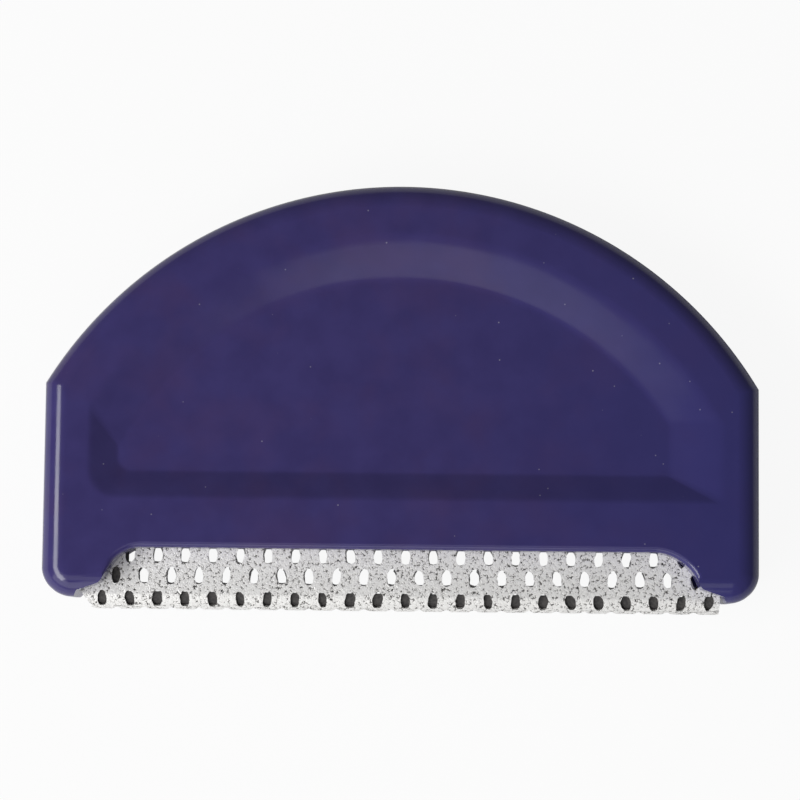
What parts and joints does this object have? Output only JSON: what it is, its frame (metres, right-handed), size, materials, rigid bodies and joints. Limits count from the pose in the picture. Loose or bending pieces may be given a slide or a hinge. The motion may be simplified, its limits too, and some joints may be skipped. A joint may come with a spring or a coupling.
{
  "type": "sweater comb",
  "caption": "Half-moon sweater comb: a glossy moulded handle with a dished panel that clamps a folded strip of perforated metal as its working edge.",
  "frame": {"origin": "middle of the comb's box, on the plane it lies on with its back face down", "axes": "+X across the handle, +Y from the working edge to the top of the arc, +Z out of the front face"},
  "size_m": [0.09, 0.0538, 0.012],
  "materials": {
    "handle_plastic": "gloss",
    "gritted_metal": "gritty",
    "core_plastic": "matt"
  },
  "bodies": {
    "root": {"front_shell": "handle_plastic", "back_shell": "handle_plastic", "comb_strip": "gritted_metal", "core_frame": "core_plastic"}
  },
  "joints": []
}
